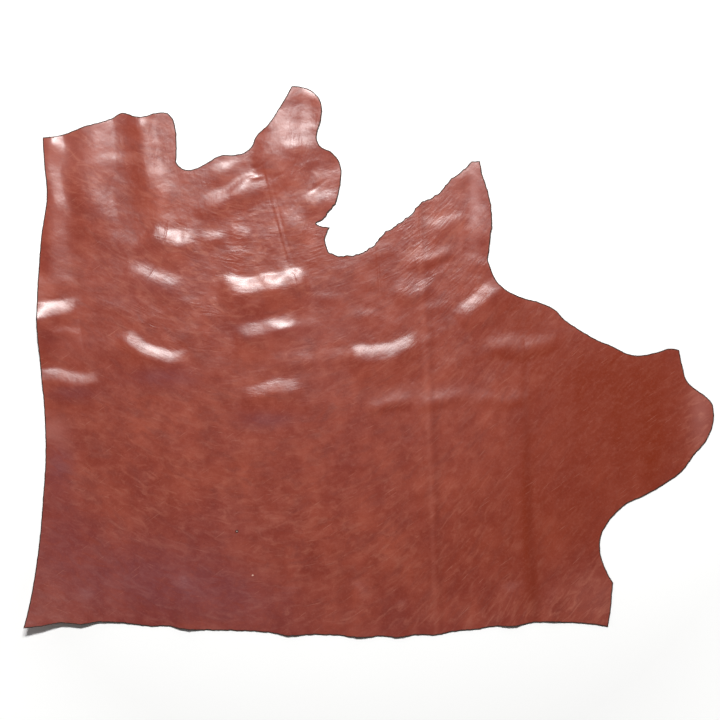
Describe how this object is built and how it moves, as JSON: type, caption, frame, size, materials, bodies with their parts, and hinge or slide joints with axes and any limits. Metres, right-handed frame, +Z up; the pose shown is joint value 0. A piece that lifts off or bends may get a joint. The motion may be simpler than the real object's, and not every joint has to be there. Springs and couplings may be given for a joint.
{
  "type": "leather hide",
  "caption": "Wide thin sheet of tanned cow leather, the front part of a side, with a straight back cut, rounded leg and neck lobes and soft waves, laid flat.",
  "frame": {"origin": "middle of the bounding box, on the floor that the hide lies on", "axes": "+X along the hide from the straight cross cut to the head, +Y from the back cut to the legs, +Z up out of the grain side"},
  "size_m": [1.301, 1.0432, 0.0307],
  "materials": {
    "waxed_leather": "glossy waxed pull-up leather, red-brown grain side up"
  },
  "bodies": {
    "root": {"hide": "waxed_leather"}
  },
  "joints": []
}
